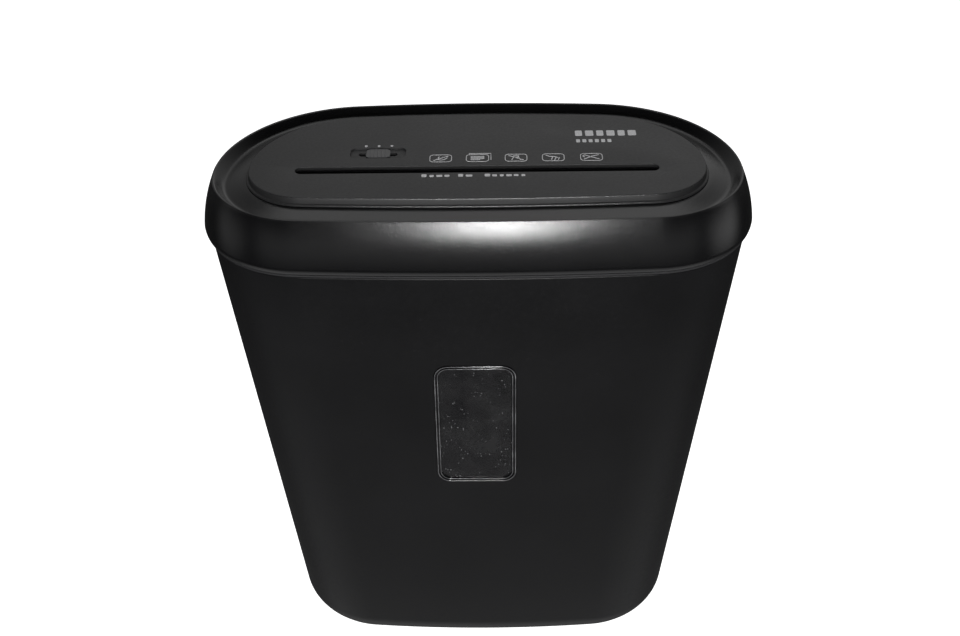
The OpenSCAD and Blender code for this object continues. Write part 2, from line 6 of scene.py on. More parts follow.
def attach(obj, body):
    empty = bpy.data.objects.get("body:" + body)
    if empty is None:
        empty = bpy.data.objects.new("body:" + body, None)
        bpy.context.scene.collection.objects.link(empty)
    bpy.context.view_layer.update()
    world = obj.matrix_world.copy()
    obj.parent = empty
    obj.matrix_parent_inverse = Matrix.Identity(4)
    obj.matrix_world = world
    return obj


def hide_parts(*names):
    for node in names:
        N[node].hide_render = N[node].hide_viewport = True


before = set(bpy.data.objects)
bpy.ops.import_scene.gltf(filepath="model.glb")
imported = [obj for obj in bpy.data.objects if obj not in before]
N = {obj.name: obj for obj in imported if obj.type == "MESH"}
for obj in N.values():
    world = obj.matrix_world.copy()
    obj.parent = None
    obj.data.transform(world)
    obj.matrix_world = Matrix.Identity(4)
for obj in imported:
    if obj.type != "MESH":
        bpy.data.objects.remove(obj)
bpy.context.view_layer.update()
MM = 0.001
rng = np.random.default_rng(7)

# ------------------------------------------------------------------ outlines
H = 352.0
WY = -14.5
BIN_H = 313.5
PAN = [138.5, 39.5, 36.5, 68.5, 66.0]
BIN0 = [129.2, 61, 58, 79, 64]
TUB = [153, 57.5, 54.5, 86.5, 84]


def off(d, e):
    return [v + e for v in d]


BIN1 = off(PAN, 26.7)


def bind(z):
    t = z / BIN_H
    return [a + (b - a) * t for a, b in zip(BIN0, BIN1)]


def bigr(a, b, r):
    return ((a - r) ** 2 + b * b - r * r) / (2 * (b - r))


def quarter(a, b, r, n1, n2):
    R = bigr(a, b, r)
    phi = math.atan2(R - b, a - r)
    out = [(a - r + r * math.cos(phi * i / n1), r * math.sin(phi * i / n1)) for i in range(n1)]
    for i in range(n2 + 1):
        t = phi + (math.pi / 2 - phi) * i / n2
        out.append((R * math.cos(t), b - R + R * math.sin(t)))
    return out


def oval(d, n1=40, n2=24):
    q = quarter(d[0], d[3], d[4], n1, n2)
    p = quarter(d[0], d[1], d[2], n1, n2)
    pts = q[:-1] + [(-x, y) for x, y in q[::-1][:-1]] + [(-x, -y) for x, y in p[:-1]] + [(x, -y) for x, y in p[::-1][:-1]]
    return [(x, y + WY) for x, y in pts]


def arcy(a, b, r, x):
    R = bigr(a, b, r)
    phi = math.atan2(R - b, a - r)
    if abs(x) > a - r + r * math.cos(phi):
        return math.sqrt(max(0, r * r - (abs(x) - (a - r)) ** 2))
    return b - R + math.sqrt(R * R - x * x)


def backy(d, x):
    return WY + arcy(d[0], d[3], d[4], x)


def fronty(d, x):
    return WY - arcy(d[0], d[1], d[2], x)


# ------------------------------------------------------------------ mesh helpers
def mesh_obj(name, verts, faces, mat=None):
    me = bpy.data.meshes.new(name)
    me.from_pydata([tuple(c * MM for c in v) for v in verts], [], faces)
    me.validate()
    me.update()
    ob = bpy.data.objects.new(name, me)
    bpy.context.scene.collection.objects.link(ob)
    if mat:
        me.materials.append(mat)
    return ob


def loft(name, rings, mode="caps", mat=None):
    n = len(rings[0])
    m = len(rings)
    verts = [p for r in rings for p in r]
    faces = []
    for i in range(m if mode == "loop" else m - 1):
        k = (i + 1) % m
        for j in range(n):
            l = (j + 1) % n
            faces.append((i * n + j, i * n + l, k * n + l, k * n + j))
    if mode == "caps":
        faces.append(tuple(range(n - 1, -1, -1)))
        faces.append(tuple((m - 1) * n + j for j in range(n)))
    return mesh_obj(name, verts, faces, mat)


def ring3(pts, z):
    return [(x, y, z) for x, y in pts]


def rounded(w, h, r, n=10):
    out = []
    for cx, cy, a0 in ((w / 2 - r, h / 2 - r, 0), (-w / 2 + r, h / 2 - r, 90), (-w / 2 + r, -h / 2 + r, 180), (w / 2 - r, -h / 2 + r, 270)):
        for i in range(n + 1):
            t = math.radians(a0 + 90 * i / n)
            out.append((cx + r * math.cos(t), cy + r * math.sin(t)))
    return out


def shade(ob, angle=32):
    me = ob.data
    for p in me.polygons:
        p.use_smooth = True
    bm = bmesh.new()
    bm.from_mesh(me)
    lim = math.radians(angle)
    for e in bm.edges:
        e.smooth = not (len(e.link_faces) != 2 or e.calc_face_angle(0) > lim)
    bm.to_mesh(me)
    bm.free()
    return ob


def apply_mods(ob):
    dg = bpy.context.evaluated_depsgraph_get()
    me = bpy.data.meshes.new_from_object(ob.evaluated_get(dg))
    old = ob.data
    ob.modifiers.clear()
    ob.data = me
    bpy.data.meshes.remove(old)
    return ob


def boolean(ob, cutters, op="DIFFERENCE"):
    for c in cutters:
        m = ob.modifiers.new("b", "BOOLEAN")
        m.operation = op
        m.solver = "EXACT"
        m.object = c
    apply_mods(ob)
    for c in cutters:
        me = c.data
        bpy.data.objects.remove(c)
        bpy.data.meshes.remove(me)
    return ob


def prism_z(name, levels):
    """levels: list of (outline, z) from low to high"""
    return loft(name, [ring3(o, z) for o, z in levels])


def shift(pts, dx, dy):
    return [(x + dx, y + dy) for x, y in pts]


def prism_y(name, levels, x0, z0):
    """levels: list of (outline in x and z, y) going towards -y"""
    rings = [[(x0 + px, y, z0 + pz) for px, pz in o] for o, y in levels]
    return loft(name, rings)


# ------------------------------------------------------------------ materials
def mat_new(name):
    m = bpy.data.materials.new(name)
    m.use_nodes = True
    nt = m.node_tree
    b = nt.nodes["Principled BSDF"]
    return m, nt, b


def coords(nt):
    return nt.nodes.new("ShaderNodeTexCoord").outputs["Object"]


def noise(nt, vec, scale, detail=3.0, rough=0.55):
    n = nt.nodes.new("ShaderNodeTexNoise")
    n.inputs["Scale"].default_value = scale
    n.inputs["Detail"].default_value = detail
    n.inputs["Roughness"].default_value = rough
    nt.links.new(vec, n.inputs["Vector"])
    return n.outputs["Fac"]


def ramp(nt, fac, lo, hi, a=0.0, b=1.0):
    n = nt.nodes.new("ShaderNodeMapRange")
    n.inputs["From Min"].default_value = lo
    n.inputs["From Max"].default_value = hi
    n.inputs["To Min"].default_value = a
    n.inputs["To Max"].default_value = b
    nt.links.new(fac, n.inputs["Value"])
    return n.outputs["Result"]


def mixc(nt, fac, a, b):
    n = nt.nodes.new("ShaderNodeMix")
    n.data_type = "RGBA"
    if isinstance(fac, float):
        n.inputs[0].default_value = fac
    else:
        nt.links.new(fac, n.inputs[0])
    for s, v in ((6, a), (7, b)):
        if isinstance(v, tuple):
            n.inputs[s].default_value = (*v, 1)
        else:
            nt.links.new(v, n.inputs[s])
    return n.outputs[2]


def plastic(name, col, rough=0.42, spec=0.4, grain=1500.0, bump=0.12, var=0.25, wear_and_edge_sheen=0.0, dust=0.0, rvar=0.05):
    """Spark-eroded moulded plastic: fine grain, slow tone drift, convex edges lightened in colour as wear together with
    painted edge sheen.
    """
    m, nt, b = mat_new(name)
    v = coords(nt)
    slow = noise(nt, v, 14.0, 4.0)
    fine = noise(nt, v, grain, 2.0, 0.6)
    mid = noise(nt, v, grain * 0.3, 2.0, 0.5)
    dark = tuple(c * (1 - var) for c in col)
    lite = tuple(c * (1 + var) for c in col)
    c = mixc(nt, ramp(nt, slow, 0.3, 0.7), dark, lite)
    c = mixc(nt, ramp(nt, fine, 0.62, 0.8, 0, 0.35), c, tuple(min(1, x * 2.0 + 0.001) for x in col))
    if wear_and_edge_sheen:
        # painted edge sheen together with wear: base colour lighter where the surface is convex
        geo = nt.nodes.new("ShaderNodeNewGeometry")
        pt = ramp(nt, geo.outputs["Pointiness"], 0.52, 0.62, 0, wear_and_edge_sheen)
        c = mixc(nt, pt, c, tuple(min(1, x * 3 + 0.02) for x in col))
    if dust:
        d = nt.nodes.new("ShaderNodeMath")
        d.operation = "MULTIPLY"
        nt.links.new(ramp(nt, noise(nt, v, 420.0, 6.0, 0.75), 0.60, 0.72), d.inputs[0])
        nt.links.new(ramp(nt, noise(nt, v, 22.0, 3.0), 0.42, 0.62), d.inputs[1])
        c = mixc(nt, ramp(nt, d.outputs[0], 0, 1, 0, dust), c, (0.25, 0.25, 0.26))
    nt.links.new(c, b.inputs["Base Color"])
    r = nt.nodes.new("ShaderNodeMath")
    r.operation = "ADD"
    nt.links.new(ramp(nt, slow, 0.3, 0.7, rough - rvar, rough + rvar), r.inputs[0])
    nt.links.new(ramp(nt, mid, 0.3, 0.7, -0.8 * rvar, 0.8 * rvar), r.inputs[1])
    nt.links.new(r.outputs[0], b.inputs["Roughness"])
    b.inputs["Specular IOR Level"].default_value = spec
    bp = nt.nodes.new("ShaderNodeBump")
    bp.inputs["Strength"].default_value = bump
    bp.inputs["Distance"].default_value = 0.0003
    add = nt.nodes.new("ShaderNodeMath")
    add.operation = "ADD"
    nt.links.new(fine, add.inputs[0])
    nt.links.new(mid, add.inputs[1])
    nt.links.new(fine if rvar < 0.02 else add.outputs[0], bp.inputs["Height"])
    nt.links.new(bp.outputs["Normal"], b.inputs["Normal"])
    return m


def metal(name, col, rough=0.32, axis=None, scratch=0.15, dark=0.6, spec_rough=0.1):
    """Plated, ground or stamped metal with directional scratches and smudges."""
    m, nt, b = mat_new(name)
    v = coords(nt)
    if axis:
        mp = nt.nodes.new("ShaderNodeMapping")
        mp.inputs["Scale"].default_value = axis
        nt.links.new(v, mp.inputs["Vector"])
        vs = mp.outputs["Vector"]
    else:
        vs = v
    lines = noise(nt, vs, 900.0, 4.0, 0.7)
    smudge = noise(nt, v, 35.0, 5.0, 0.6)
    c = mixc(nt, ramp(nt, smudge, 0.35, 0.7), col, tuple(x * dark for x in col))
    nt.links.new(c, b.inputs["Base Color"])
    b.inputs["Metallic"].default_value = 1.0
    r = nt.nodes.new("ShaderNodeMath")
    r.operation = "ADD"
    nt.links.new(ramp(nt, lines, 0.3, 0.7, rough - spec_rough, rough + spec_rough), r.inputs[0])
    nt.links.new(ramp(nt, smudge, 0.3, 0.7, -0.06, 0.08), r.inputs[1])
    nt.links.new(r.outputs[0], b.inputs["Roughness"])
    bp = nt.nodes.new("ShaderNodeBump")
    bp.inputs["Strength"].default_value = scratch
    bp.inputs["Distance"].default_value = 0.0002
    nt.links.new(lines, bp.inputs["Height"])
    nt.links.new(bp.outputs["Normal"], b.inputs["Normal"])
    return m


M = {}
M["bin"] = plastic("mat_bin_plastic", (0.0026, 0.0026, 0.0030), rough=0.40, spec=0.25, grain=1400, bump=0.10, var=0.18, wear_and_edge_sheen=0.02, dust=0.025, rvar=0.03)
M["head"] = plastic("mat_head_plastic", (0.0028, 0.0028, 0.0031), rough=0.20, spec=0.42, grain=1350, bump=0.24, var=0.15, wear_and_edge_sheen=0.04, dust=0.012, rvar=0.012)
M["panel"] = plastic("mat_panel_plastic", (0.018, 0.018, 0.0185), rough=0.50, spec=0.40, grain=1800, bump=0.14, var=0.08, wear_and_edge_sheen=0.25, dust=0.02)
M["housing"] = plastic("mat_housing_plastic", (0.011, 0.011, 0.012), rough=0.48, spec=0.38, grain=1200, bump=0.1, var=0.2, wear_and_edge_sheen=0.1)
M["rubber"] = plastic("mat_rubber", (0.012, 0.012, 0.012), rough=0.82, spec=0.25, grain=900, bump=0.25, var=0.25, dust=0.15)

# pale print
pm, nt, b = mat_new("mat_print")
v = coords(nt)
nt.links.new(mixc(nt, ramp(nt, noise(nt, v, 1400.0, 3.0), 0.35, 0.7), (0.46, 0.46, 0.47), (0.70, 0.70, 0.71)), b.inputs["Base Color"])
nt.links.new(ramp(nt, noise(nt, v, 600.0, 2.0), 0.3, 0.7, 0.42, 0.6), b.inputs["Roughness"])
M["print"] = pm

# window pane: smoked clear plastic, dusty inside
wm, nt, b = mat_new("mat_window_pane")
v = coords(nt)
specks = nt.nodes.new("ShaderNodeTexVoronoi")
specks.inputs["Scale"].default_value = 520.0
nt.links.new(v, specks.inputs["Vector"])
sp = ramp(nt, specks.outputs["Distance"], 0.10, 0.22, 1.0, 0.0)
gate = ramp(nt, noise(nt, v, 160.0, 4.0, 0.7), 0.51, 0.60)
mul = nt.nodes.new("ShaderNodeMath"); mul.operation = "MULTIPLY"
nt.links.new(sp, mul.inputs[0]); nt.links.new(gate, mul.inputs[1])
cloud = ramp(nt, noise(nt, v, 60.0, 5.0, 0.65), 0.35, 0.75)
c = mixc(nt, cloud, (0.005, 0.005, 0.0055), (0.014, 0.014, 0.0145))
c = mixc(nt, ramp(nt, mul.outputs[0], 0, 1, 0, 0.8), c, (0.24, 0.24, 0.25))
nt.links.new(c, b.inputs["Base Color"])
nt.links.new(ramp(nt, cloud, 0, 1, 0.16, 0.34), b.inputs["Roughness"])
b.inputs["Specular IOR Level"].default_value = 0.38
b.inputs["Alpha"].default_value = 0.9
bp = nt.nodes.new("ShaderNodeBump"); bp.inputs["Strength"].default_value = 0.25; bp.inputs["Distance"].default_value = 0.0004
nt.links.new(noise(nt, v, 300.0, 4.0, 0.7), bp.inputs["Height"]); nt.links.new(bp.outputs["Normal"], b.inputs["Normal"])
M["pane"] = wm

fm, nt, b = mat_new("mat_window_frame")
v = coords(nt)
nt.links.new(mixc(nt, ramp(nt, noise(nt, v, 90.0, 4.0), 0.35, 0.7), (0.0030, 0.0030, 0.0033), (0.010, 0.010, 0.011)), b.inputs["Base Color"])
nt.links.new(ramp(nt, noise(nt, v, 500.0, 3.0), 0.3, 0.7, 0.10, 0.22), b.inputs["Roughness"])
b.inputs["Specular IOR Level"].default_value = 0.45
M["wframe"] = fm

# painted highlight: a lighter copy of the window frame plastic, put on the bead crests in place of their glints
fm, nt, b = mat_new("mat_window_bead_painted_highlight")
v = coords(nt)
nt.links.new(mixc(nt, ramp(nt, noise(nt, v, 120.0, 4.0), 0.40, 0.68), (0.050, 0.050, 0.052), (0.15, 0.15, 0.155)), b.inputs["Base Color"])
nt.links.new(ramp(nt, noise(nt, v, 500.0, 3.0), 0.3, 0.7, 0.12, 0.26), b.inputs["Roughness"])
b.inputs["Specular IOR Level"].default_value = 0.7
M["wbead"] = fm

# ------------------------------------------------------------------ bin
def bin_mesh():
    R = []
    for k in range(15):
        t = math.radians(k * 90 / 14)
        z = 1.5 + 17.5 * (1 - math.cos(t))
        R.append(ring3(oval(off(bind(z), -17.5 * (1 - math.sin(t)))), z))
    for z in (60, 110, 160, 210, 260, BIN_H - 1.2):
        R.append(ring3(oval(bind(z)), z))
    for k in range(1, 5):
        t = math.radians(k * 22.5)
        R.append(ring3(oval(off(bind(BIN_H), -0.9 * (1 - math.cos(t)))), BIN_H - 0.9 + 0.9 * math.sin(t)))
    R.append(ring3(oval(off(bind(BIN_H), -2.2)), BIN_H))
    R.append(ring3(oval(off(bind(BIN_H), -2.4)), BIN_H - 0.3))
    for z in (260, 210, 160, 110, 60, 20):
        R.append(ring3(oval(off(bind(z), -2.4)), z))
    for z, e in ((12, -3.8), (7, -7.2), (5.2, -10), (4.5, -13)):
        R.append(ring3(oval(off(bind(z), e)), z))
    return loft("bin_shell", R, "caps", M["bin"])


WX, WZ = -2.2, 201.6
binv = bin_mesh()
cut = prism_y("cut_w", [(rounded(51.4, 95.4, 9, 14), -60), (rounded(51.4, 95.4, 9, 14), -100)], WX, WZ)
cuts = [cut]
for s in (-1, 1):
    for px, py in ((78, -43), (80, 20)):
        o = [(s * px + 9 * math.cos(a), py + 9 * math.sin(a)) for a in np.linspace(0, 2 * math.pi, 41)[:-1]]
        cuts.append(prism_z("cut_f", [(o, 1.0), (o, 2.7)]))
boolean(binv, cuts)
post = prism_z("bin_post", [([(-xo, WY - 5), (-153.6, WY - 5), (-153.6, WY + 5), (-xo, WY + 5)], z) for xo, z in ((158.9, 270), (162.2, 299.6))])
shade(binv, 30)
post.data.materials.append(M["bin"])
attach(binv, "bin"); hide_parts("bin")
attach(post, "bin")


def wall_patch(name, outline, o_out, o_in, mat, hole=None):
    """A piece of the bin's curved front wall, cut to an outline in x and z."""
    zs = [WZ - 60 + i * 10 for i in range(13)]
    R = [ring3(oval(off(bind(z), o_out)), z) for z in zs] + [ring3(oval(off(bind(z), o_in)), z) for z in zs[::-1]]
    sh = loft(name, R, "loop", mat)
    c = prism_y("c", [(outline, -60), (outline, -100)], WX, WZ)
    boolean(sh, [c], "INTERSECT")
    if hole:
        boolean(sh, [prism_y("c", [(hole, -59), (hole, -101)], WX, WZ)])
    return sh


pane = wall_patch("window_pane", rounded(45.6, 89.6, 6.4, 14), -0.9, -2.3, M["pane"])
shade(pane, 30)
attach(pane, "bin")


def front_curve(x, z, o):
    return fronty(off(bind(z), o), x)


def frame_ring():
    """Window rim: two rounded beads with a shallow groove between them, swept round the opening."""
    prof = []          # (inset from the opening's edge, stand-off from the wall)
    prof += [(0.25, -2.3), (0.25, 0.1)]
    for k in range(9):
        t = math.pi - math.pi * k / 8
        prof.append((0.25 + 0.55 + 0.55 * math.cos(t), 0.1 + 0.55 * math.sin(t)))
    prof += [(1.5, -0.15), (2.0, -0.2)]
    for k in range(9):
        t = math.pi - math.pi * k / 8
        prof.append((2.1 + 0.45 + 0.45 * math.cos(t), -0.05 + 0.5 * math.sin(t)))
    prof += [(3.2, -0.9), (3.2, -2.8), (1.2, -2.8)]
    rings = []
    for inset, st in prof:
        o = rounded(51.4 - 2 * inset, 95.4 - 2 * inset, 9 - inset, 14)
        rings.append([(WX + x, front_curve(WX + x, WZ + z, st), WZ + z) for x, z in o])
    return loft("window_frame", rings, "loop", M["wframe"])


wf = shade(frame_ring(), 40)
wf.data.materials.append(M["wbead"])
# the bead crests take the painted-highlight material, the groove and flanks keep the dark frame plastic
nper = len(wf.data.polygons) // 25
for f in wf.data.polygons:
    if f.index // nper in (5, 6, 16, 17):
        f.material_index = 1
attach(wf, "bin"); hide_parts("bin_window")

# ------------------------------------------------------------------ head cover
prof = [(28.5, H - 35.7), (29.1, H - 35.25), (29.55, H - 34.5), (29.9, H - 33.5), (30.1, H - 32.6)]
for k in range(25):
    t = math.radians(6 + k * 18.2 / 24)
    prof.append((30.2 + 94.7 * (math.cos(t) - math.cos(math.radians(6))), H - 31.7 + 94.7 * (math.sin(t) - math.sin(math.radians(6)))))
prof += [(22.35, H - 2.62), (22.1, H - 2.49), (21.8, H - 2.42), (21.45, H - 2.44), (21.1, H - 2.58), (20.75, H - 2.84), (20.3, H - 3.3), (19.4, H - 4.3), (18.4, H - 5.45), (17.4, H - 6.6), (16.8, H - 7.2), (16.2, H - 7.7), (15.5, H - 8.05),
         (14.8, H - 8.2), (13.9, H - 8.22), (13, H - 8.1), (8, H - 6.9), (5, H - 6.2), (2.6, H - 5.62), (1.6, H - 5.6), (1.3, H - 5.8), (1.3, H - 7.9),
         (9, H - 9.4), (14.8, H - 10.8), (18.6, H - 11), (23, H - 12.6), (25.4, H - 20), (26.8, H - 28), (26.4, H - 35.7)]
cover = loft("head_cover", [ring3(oval(off(PAN, e)), z) for e, z in prof], "loop", M["head"])
gx, gz = 60, 330
circ = lambda r, n=48: [(r * math.cos(a), r * math.sin(a)) for a in np.linspace(0, 2 * math.pi, n + 1)[:-1]]
boolean(cover, [prism_y("c", [(circ(8.3), 90), (circ(8.3), 80.3)], gx, gz), prism_y("c", [(circ(5.6), 89), (circ(5.6), 60)], gx, gz)])
shade(cover, 34)
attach(cover, "head"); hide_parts("top_cover")

# ------------------------------------------------------------------ feed panel
SY = -18.5
SWX, SWY = -61, 3


def stadium(l, w, n=16):
    out = []
    for s, a0 in ((1, -90), (-1, 90)):
        for i in range(n + 1):
            t = math.radians(a0 + 180 * i / n)
            out.append((s * (l - w) / 2 + w / 2 * math.cos(t), w / 2 * math.sin(t)))
    return out


pp = [(-1.5, H - 2.4), (-1.5, H - 8), (0.7, H - 8), (0.7, H - 5.4), (1.86, H - 5.38), (1.9, H - 5.2), (1.9, H - 4.72), (1.77, H - 4.42), (1.6, H - 4.24), (1.3, H - 4.16), (0.7, H - 4.08), (0.48, H - 3.9), (0.4, H - 3.5), (0.16, H - 0.66),
      (0.02, H - 0.34), (-0.14, H - 0.14), (-0.36, H - 0.04), (-0.7, H)]
panel = loft("feed_panel_top", [ring3(oval(off(PAN, e)), z) for e, z in pp], "caps", M["panel"])
lv = [(shift(stadium(220, 8.4), 0, SY), H - 5), (shift(stadium(220, 8.4), 0, SY), H - 0.4)]
for k in range(1, 6):
    t = math.radians(k * 18)
    e = 0.35 * (1 - math.cos(t))
    lv.append((shift(stadium(220 + 2 * e, 8.4 + 2 * e), 0, SY), H - 0.4 + 0.4 * math.sin(t)))
lv.append((shift(stadium(221.2, 9.6), 0, SY), H + 0.6))
c1 = prism_z("c", lv)
c2 = prism_z("c", [(shift(rounded(34, 13, 4), SWX, SWY), H - 1.2), (shift(rounded(34, 13, 4), SWX, SWY), H - 0.35), (shift(rounded(34.7, 13.7, 4.3), SWX, SWY), H + 0.1)])
c3 = prism_z("c", [(shift(stadium(24, 4.6), SWX, SWY), H - 5), (shift(stadium(24, 4.6), SWX, SWY), H - 0.5)])
boolean(panel, [c1, c2, c3])
# the slot's throat: rougher, and painted shade, a darker and less reflective copy of the panel plastic
M["throat"] = plastic("mat_slot_throat_painted_shade", (0.014, 0.014, 0.0145), rough=0.70, spec=0.2, grain=900, bump=0.15, var=0.3)
panel.data.materials.append(M["throat"])
# faces inside the slot take the painted-shade material
for f in panel.data.polygons:
    c = f.center / MM
    if abs(c.x) < 110.6 and abs(c.y - SY) < 4.6 and c.z < H - 0.35 and abs(f.normal.z) < 0.7:
        f.material_index = len(panel.data.materials) - 1
# handled edges are rubbed smooth
M["edge"] = plastic("mat_panel_edge", (0.02, 0.02, 0.021), rough=0.27, spec=0.5, grain=1100, bump=0.5, var=0.3)
panel.data.materials.append(M["edge"])
for f in panel.data.polygons:
    c = f.center / MM
    if 0.3 < f.normal.z < 0.55 and (H - 0.7 < c.z < H - 0.3 or H - 4.75 < c.z < H - 4.38) and abs(c.y - SY) > 6 and not (abs(c.x - SWX) < 18 and abs(c.y - SWY) < 8):
        f.material_index = len(panel.data.materials) - 1
shade(panel, 34)
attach(panel, "head"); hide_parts("feed_panel")

# ------------------------------------------------------------------ lower housing: smoother lip
FZ = H - 36.1
lp = [(24.5, BIN_H + 0.1), (24.5, BIN_H + 1.0), (27.8, BIN_H + 1.0), (28.05, BIN_H + 1.1), (28.18, BIN_H + 1.35), (28.18, FZ - 0.3), (28.0, FZ), (23.5, FZ), (22.0, BIN_H + 0.1)]
lip = loft("housing_lip", [ring3(oval(off(PAN, e + (0.03 if e > 27 else 0))), z) for e, z in lp], "loop", M["housing"])
shade(lip, 40)
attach(lip, "head")

# ------------------------------------------------------------------ printed marks (generic)
def flat(name, loops, z0, z1, holes=True):
    """Thin raised print: outlines in loops, the second of each pair is a hole."""
    verts, faces = [], []
    for outer, inner in loops:
        n = len(outer)
        b0 = len(verts)
        if inner is None:
            verts += [(x, y, z0) for x, y in outer] + [(x, y, z1) for x, y in outer]
            faces.append(tuple(b0 + n + i for i in range(n)))
            faces.append(tuple(b0 + n - 1 - i for i in range(n)))
            for i in range(n):
                j = (i + 1) % n
                faces.append((b0 + i, b0 + j, b0 + n + j, b0 + n + i))
        else:
            verts += [(x, y, z0) for x, y in outer] + [(x, y, z1) for x, y in outer] + [(x, y, z1) for x, y in inner] + [(x, y, z0) for x, y in inner]
            for i in range(n):
                j = (i + 1) % n
                for r in range(4):
                    q = (r + 1) % 4
                    faces.append((b0 + r * n + i, b0 + r * n + j, b0 + q * n + j, b0 + q * n + i))
    return mesh_obj(name, verts, faces, M["print"])


def stroke(pts, w):
    """A polyline as a thin closed outline."""
    P = [np.array(p, float) for p in pts]
    L, Rr = [], []
    for i, p in enumerate(P):
        a = P[max(i - 1, 0)]; c = P[min(i + 1, len(P) - 1)]
        d = c - a
        d /= np.linalg.norm(d)
        nrm = np.array([-d[1], d[0]]) * w / 2
        L.append(tuple(p + nrm)); Rr.append(tuple(p - nrm))
    return Rr + L[::-1]


def icon(cx, w, strokes, double=False):
    cy, hh = -5.0, 9.4
    w -= 0.5
    loops = []
    o = shift(rounded(w, hh, 2.6, 6), cx, cy)
    i = shift(rounded(w - 0.9, hh - 0.9, 2.15, 6), cx, cy)
    loops.append((o, i))
    if double:
        loops.append((stroke([(cx - w / 2 + 1.6, cy + hh / 2 + 1.2), (cx + w / 2 + 1.2, cy + hh / 2 + 1.2), (cx + w / 2 + 1.2, cy - hh / 2 + 2.2)], 0.5), None))
    for s in strokes:
        loops.append((stroke([(cx + x * 0.95, cy + y * 0.62) for x, y in s], 0.6), None))
    return loops


arc = lambda r, a0, a1, cx=0, cy=0, n=10: [(cx + r * math.cos(math.radians(a0 + (a1 - a0) * i / n)), cy + r * math.sin(math.radians(a0 + (a1 - a0) * i / n))) for i in range(n + 1)]
marks = []
marks += icon(-22.1, 14.2, [arc(3.0, 200, 350, 0, -0.3), [(-4.6, -4.2), (4.8, 4.6)], [(-1.6, 0.4), (-1.0, 3.4)], [(0.9, 0.2), (1.4, 3.0)], [(3.0, -1.4), (4.2, 1.2)]])
marks += icon(0.4, 14.6, [[(-4.4, 3.4), (4.4, 3.4)], [(-4.4, 1.1), (4.4, 1.1)], [(-4.4, -1.2), (4.4, -1.2)], [(-4.4, -3.5), (1.6, -3.5)]], True)
marks += icon(24.0, 14.2, [arc(1.7, 0, 350, 0, 3.0, 12), [(-2.8, -4.6), (-1.8, 0.6), (1.8, 0.6), (2.8, -4.6)], [(-4.8, 4.6), (4.8, -4.6)]])
marks += icon(46.7, 14.2, [arc(4.2, 20, 100, -1, -2.4), [(-4.6, 4.2), (-1.8, 1.6)], [(-1.2, -4.6), (-0.4, 0.6)], [(1.0, -4.8), (1.8, 0.2)], [(3.2, -4.6), (4.0, -0.4)]])
marks += icon(70.0, 14.2, [[(-5.0, -4.6), (0.2, 1.6), (4.8, 4.4)], [(-4.6, 4.6), (5.0, -4.4)], arc(2.0, 120, 250, -3.4, 2.0)])
for x0, n, dx in ((-31.5, 4, 4.6), (-9.5, 2, 5.0), (6.5, 6, 4.3)):
    for i in range(n):
        wv = dx - 1.0 - 0.5 * ((i * 7 + n) % 3)
        marks.append((shift(rounded(wv, 2.2 if i else 3.0, 0.6, 4), x0 + i * dx, -26.9 + (0.4 if i == 0 else 0)), None))
for i in range(6):
    marks.append((shift(rounded(4.4 + 0.7 * (i % 2), 7.0, 0.9, 5), 63.8 + 6.7 * i, 26.4), None))
    marks.append((shift(rounded(2.4, 3.8, 0.5, 4), 63.0 + 3.9 * i, 16.2), None))
for i in range(3):
    marks.append((shift(circ(0.9, 16), SWX - 8 + i * 8, SWY + 9), None))
pr = flat("panel_print", marks, H - 0.02, H + 0.12)
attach(pr, "head"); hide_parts("panel_marks")

# ------------------------------------------------------------------ switch knob with rounded ribs
kn = []
lvk = [(shift(rounded(15, 11, 3), SWX, SWY), H - 1.1), (shift(rounded(15, 11, 3), SWX, SWY), H - 0.45), (shift(rounded(14.5, 10.5, 2.8), SWX, SWY), H - 0.2)]
knob = prism_z("switch_knob_cap", lvk)
parts = [knob]
for i in range(-2, 3):
    R = []
    for k in range(7):
        t = math.radians(180 * k / 6)
        R.append([(SWX + i * 2.3 - 0.55 * math.cos(t), SWY - 4.3, H - 0.3 + 0.3 * math.sin(t)), (SWX + i * 2.3 - 0.55 * math.cos(t), SWY + 4.3, H - 0.3 + 0.3 * math.sin(t))])
    vs = [p for r in R for p in r]
    fs = [(2 * k, 2 * k + 1, 2 * k + 3, 2 * k + 2) for k in range(6)] + [tuple(2 * k for k in range(6, -1, -1)), tuple(2 * k + 1 for k in range(7)), (0, 12, 13, 1)]
    parts.append(mesh_obj("rib", vs, fs))
stem = prism_z("stem", [([(SWX - 4.3, SWY - 2.1), (SWX + 4.3, SWY - 2.1), (SWX + 4.3, SWY + 2.1), (SWX - 4.3, SWY + 2.1)], H - 8), ([(SWX - 4.3, SWY - 2.1), (SWX + 4.3, SWY - 2.1), (SWX + 4.3, SWY + 2.1), (SWX - 4.3, SWY + 2.1)], H - 1)])
parts.append(stem)
M["knob"] = plastic("mat_knob", (0.05, 0.05, 0.052), rough=0.34, spec=0.5, grain=1300, bump=0.08, var=0.1, wear_and_edge_sheen=0.3)
bpy.ops.object.select_all(action="DESELECT")
for o in parts:
    o.data.materials.clear(); o.data.materials.append(M["knob"]); o.select_set(True)
bpy.context.view_layer.objects.active = knob
bpy.ops.object.join()
shade(knob, 34)
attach(knob, "knob"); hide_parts("switch_knob")

# ------------------------------------------------------------------ cord gland with a ribbed nose
def turned_y(name, prof, cx, cz, mat, n=64):
    rings = [[(cx + r * math.cos(a), y, cz + r * math.sin(a)) for a in np.linspace(2 * math.pi, 0, n + 1)[:-1]] for r, y in prof]
    return loft(name, rings, "loop", mat)


gp = [(3.6, 70), (5.45, 70), (7, 70.4), (7, 72.6), (6.7, 73.0), (5.45, 73.0), (5.45, 80.4), (8.0, 80.4), (8.0, 83.2), (7.8, 83.6), (7.4, 83.8), (6.6, 83.8), (6.4, 83.6), (6.0, 83.6), (5.8, 84.0), (5.0, 84.08), (4.2, 83.9), (3.7, 83.4), (3.6, 82.8)]
gl = turned_y("cord_gland_nose", gp, gx, gz, M["rubber"])
shade(gl, 34)
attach(gl, "head"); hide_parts("cord_gland")

